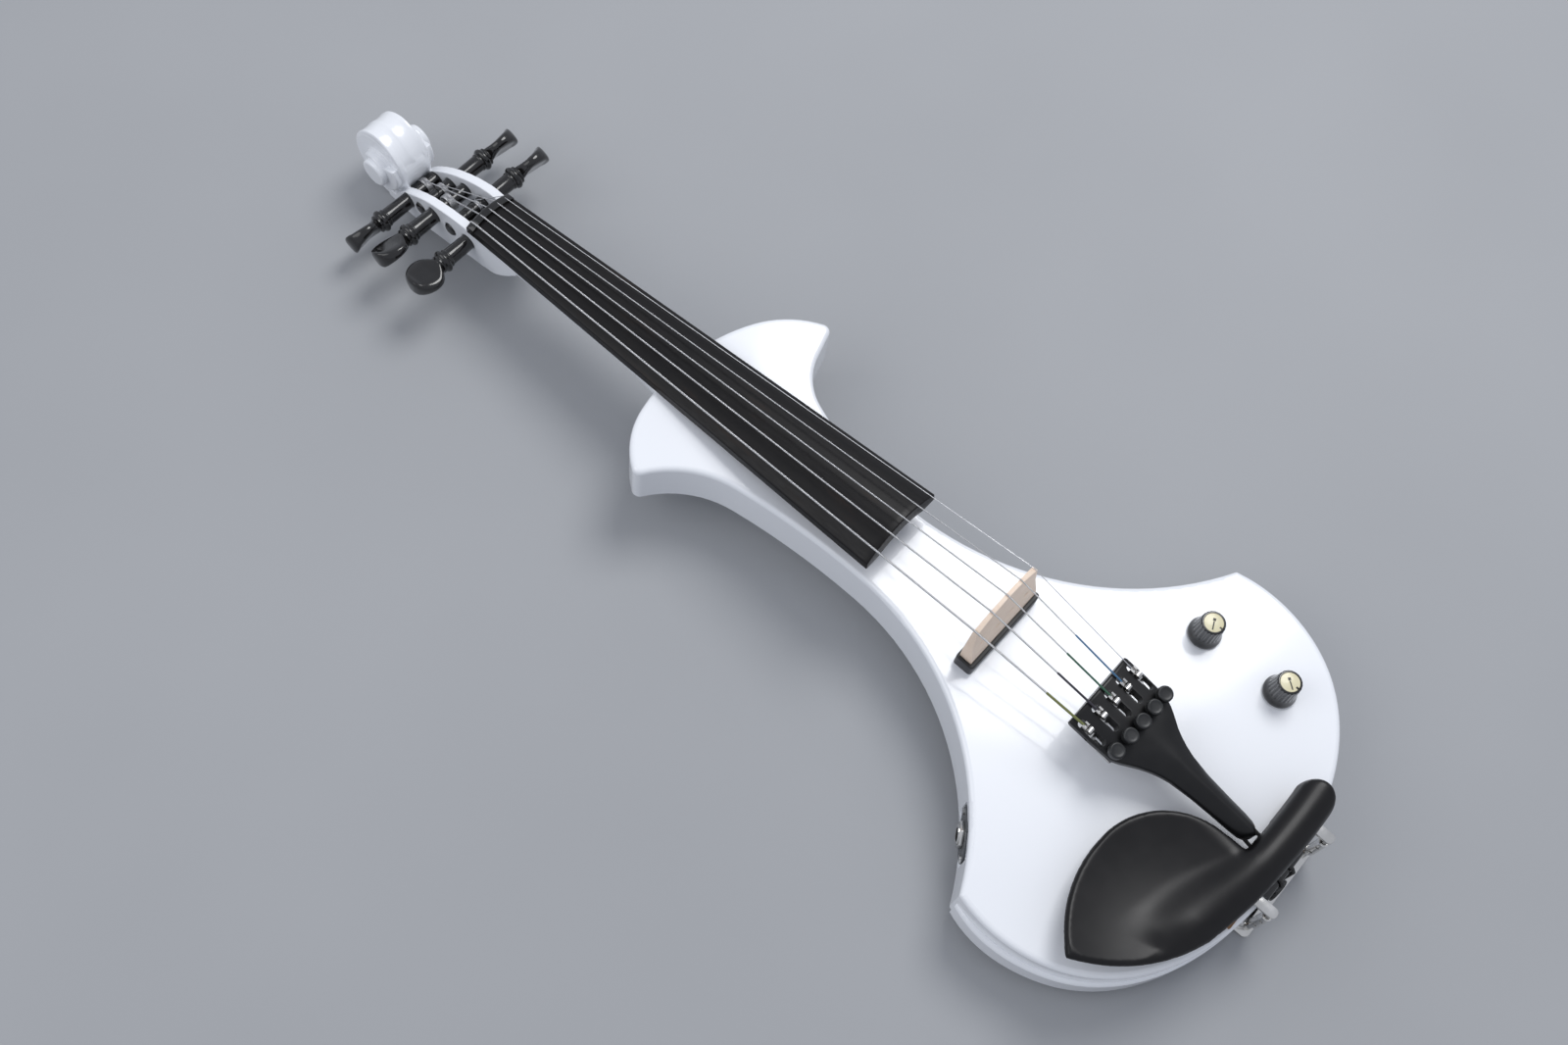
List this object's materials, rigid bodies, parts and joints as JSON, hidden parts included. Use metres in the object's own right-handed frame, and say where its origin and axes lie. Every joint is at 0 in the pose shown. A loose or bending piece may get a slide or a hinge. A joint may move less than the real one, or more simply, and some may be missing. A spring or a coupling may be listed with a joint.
{
  "type": "electric violin",
  "caption": "Solid-body electric violin with a waisted white body, ebony fingerboard, side controls, fine-tuner tailpiece, chinrest and clamp.",
  "frame": {"origin": "centre of the bounding box's bottom: on the centre line, half way along the instrument, level with the lowest point of the scroll", "axes": "+X to the treble side, +Y to the scroll, +Z out of the playing side"},
  "size_m": [0.2206, 0.604, 0.1003],
  "materials": {
    "white_lacquer": "high gloss bluish white lacquer over wood",
    "ebony": "oiled near-black wood with faint brown streaks",
    "polished_ebony": "polished black",
    "maple": "pale scraped maple",
    "pickup_black": "satin black",
    "piezo": "wrapped film strip",
    "wound_string": "flat-wound steel",
    "plain_string": "bright steel",
    "tailpiece_black": "satin black composite",
    "chinrest_black": "satin black",
    "cork": "cork",
    "nickel": "polished nickel",
    "tuner_black": "dark satin plated",
    "lever_metal": "satin nickel",
    "knob_black": "gloss skirt and satin fluted grip",
    "knob_cream": "cream inlay",
    "pot_metal": "zinc can",
    "cover_black": "matt black",
    "gut_black": "braided cord",
    "capacitor_brown": "dipped ceramic",
    "wire_black": "insulated lead",
    "jack_plate_dark": "dark plated"
  },
  "bodies": {
    "instrument": {"body": "white_lacquer", "neck": "white_lacquer", "fingerboard": "ebony", "nut": "polished_ebony", "pickup_bar": "pickup_black", "piezo_strip": "piezo", "bridge": "maple", "tailpiece": "tailpiece_black", "tuner_pivot_pin": "nickel", "tail_gut": "gut_black", "saddle": "polished_ebony", "end_button": "polished_ebony", "chinrest": "chinrest_black", "chinrest_pads": "cork", "clamp_top_brackets": "nickel", "potentiometers": "pot_metal", "pot_nuts": "nickel", "cavity_cover": "cover_black", "cavity_cover_screws": "nickel", "output_jack": "nickel", "jack_plate": "jack_plate_dark", "jack_nut": "nickel", "jack_plate_screws": "nickel", "tone_capacitor": "capacitor_brown", "wiring": "wire_black", "string_c": "wound_string", "string_g": "wound_string", "string_d": "wound_string", "string_a": "wound_string", "string_e": "plain_string"},
    "volume_control": {"volume_knob": "knob_black", "volume_knob_disc": "knob_cream", "volume_pot_shaft": "pot_metal"},
    "tone_control": {"tone_knob": "knob_black", "tone_knob_disc": "knob_cream", "tone_pot_shaft": "pot_metal"},
    "clamp_barrel_bass": {"clamp_barrel_bass": "nickel"},
    "clamp_barrel_treble": {"clamp_barrel_treble": "nickel"},
    "clamp_foot": {"clamp_foot": "nickel", "clamp_foot_pad": "cork"},
    "peg_c": {"peg_c": "polished_ebony"},
    "tuner_screw_c": {"tuner_screw_c": "tuner_black"},
    "tuner_lever_c": {"tuner_lever_c": "lever_metal"},
    "peg_g": {"peg_g": "polished_ebony"},
    "tuner_screw_g": {"tuner_screw_g": "tuner_black"},
    "tuner_lever_g": {"tuner_lever_g": "lever_metal"},
    "peg_d": {"peg_d": "polished_ebony"},
    "tuner_screw_d": {"tuner_screw_d": "tuner_black"},
    "tuner_lever_d": {"tuner_lever_d": "lever_metal"},
    "peg_a": {"peg_a": "polished_ebony"},
    "tuner_screw_a": {"tuner_screw_a": "tuner_black"},
    "tuner_lever_a": {"tuner_lever_a": "lever_metal"},
    "peg_e": {"peg_e": "polished_ebony"},
    "tuner_screw_e": {"tuner_screw_e": "tuner_black"},
    "tuner_lever_e": {"tuner_lever_e": "lever_metal"}
  },
  "joints": [
    {"name": "peg_c_turn", "type": "hinge", "parent": "instrument", "child": "peg_c", "pos_m": [0, 0.21043, 0.0339], "axis": [-1, 0, 0], "continuous": true},
    {"name": "peg_g_turn", "type": "hinge", "parent": "instrument", "child": "peg_g", "pos_m": [0, 0.23665, 0.02992], "axis": [-1, 0, 0], "continuous": true},
    {"name": "peg_d_turn", "type": "hinge", "parent": "instrument", "child": "peg_d", "pos_m": [0, 0.25905, 0.01883], "axis": [-1, 0, 0], "continuous": true},
    {"name": "peg_a_turn", "type": "hinge", "parent": "instrument", "child": "peg_a", "pos_m": [0, 0.24796, 0.02311], "axis": [1, 0, 0], "continuous": true},
    {"name": "peg_e_turn", "type": "hinge", "parent": "instrument", "child": "peg_e", "pos_m": [0, 0.22368, 0.03089], "axis": [1, 0, 0], "continuous": true},
    {"name": "volume_turn", "type": "hinge", "parent": "instrument", "child": "volume_control", "pos_m": [0.0678, -0.19965, 0.06738], "axis": [0, 0, -1], "range_deg": [-150, 150]},
    {"name": "tone_turn", "type": "hinge", "parent": "instrument", "child": "tone_control", "pos_m": [0.069, -0.24265, 0.06738], "axis": [0, 0, -1], "range_deg": [-150, 150]},
    {"name": "tuner_c_screw_turn", "type": "hinge", "parent": "instrument", "child": "tuner_screw_c", "pos_m": [-0.0178, -0.20256, 0.08308], "axis": [0, 0.1288, -0.9917], "range_deg": [0, 720]},
    {"name": "tuner_c_lever_tilt", "type": "hinge", "parent": "instrument", "child": "tuner_lever_c", "pos_m": [-0.0178, -0.18987, 0.0816], "axis": [1, 0, 0], "range_deg": [0, 4.7]},
    {"name": "tuner_g_screw_turn", "type": "hinge", "parent": "instrument", "child": "tuner_screw_g", "pos_m": [-0.0089, -0.20279, 0.0848], "axis": [0, 0.1288, -0.9917], "range_deg": [0, 720]},
    {"name": "tuner_g_lever_tilt", "type": "hinge", "parent": "instrument", "child": "tuner_lever_g", "pos_m": [-0.0089, -0.18987, 0.0816], "axis": [1, 0, 0], "range_deg": [0, 4.7]},
    {"name": "tuner_d_screw_turn", "type": "hinge", "parent": "instrument", "child": "tuner_screw_d", "pos_m": [0, -0.20286, 0.08536], "axis": [0, 0.1288, -0.9917], "range_deg": [0, 720]},
    {"name": "tuner_d_lever_tilt", "type": "hinge", "parent": "instrument", "child": "tuner_lever_d", "pos_m": [0, -0.18987, 0.0816], "axis": [1, 0, 0], "range_deg": [0, 4.7]},
    {"name": "tuner_a_screw_turn", "type": "hinge", "parent": "instrument", "child": "tuner_screw_a", "pos_m": [0.0089, -0.20279, 0.0848], "axis": [0, 0.1288, -0.9917], "range_deg": [0, 720]},
    {"name": "tuner_a_lever_tilt", "type": "hinge", "parent": "instrument", "child": "tuner_lever_a", "pos_m": [0.0089, -0.18987, 0.0816], "axis": [1, 0, 0], "range_deg": [0, 4.7]},
    {"name": "tuner_e_screw_turn", "type": "hinge", "parent": "instrument", "child": "tuner_screw_e", "pos_m": [0.0178, -0.20256, 0.08308], "axis": [0, 0.1288, -0.9917], "range_deg": [0, 720]},
    {"name": "tuner_e_lever_tilt", "type": "hinge", "parent": "instrument", "child": "tuner_lever_e", "pos_m": [0.0178, -0.18987, 0.0816], "axis": [1, 0, 0], "range_deg": [0, 4.7]},
    {"name": "clamp_bass_turn", "type": "hinge", "parent": "instrument", "child": "clamp_barrel_bass", "pos_m": [-0.018, -0.29895, 0.04738], "axis": [0, 0, 1], "range_deg": [0, 720.1]},
    {"name": "clamp_treble_turn", "type": "hinge", "parent": "instrument", "child": "clamp_barrel_treble", "pos_m": [0.027, -0.29895, 0.04738], "axis": [0, 0, 1], "range_deg": [0, 720.1]},
    {"name": "clamp_foot_drop", "type": "slide", "parent": "instrument", "child": "clamp_foot", "axis": [0, 0, -1], "range_m": [0, 0.002]}
  ],
  "couplings": [
    {"joint": "tuner_c_lever_tilt", "follows": "tuner_c_screw_turn", "ratio": 0.0064},
    {"joint": "tuner_g_lever_tilt", "follows": "tuner_g_screw_turn", "ratio": 0.0064},
    {"joint": "tuner_d_lever_tilt", "follows": "tuner_d_screw_turn", "ratio": 0.0064},
    {"joint": "tuner_a_lever_tilt", "follows": "tuner_a_screw_turn", "ratio": 0.0064},
    {"joint": "tuner_e_lever_tilt", "follows": "tuner_e_screw_turn", "ratio": 0.0064},
    {"joint": "clamp_bass_turn", "follows": "clamp_foot_drop", "rad_per_m": 6283.2},
    {"joint": "clamp_treble_turn", "follows": "clamp_foot_drop", "rad_per_m": 6283.2}
  ]
}
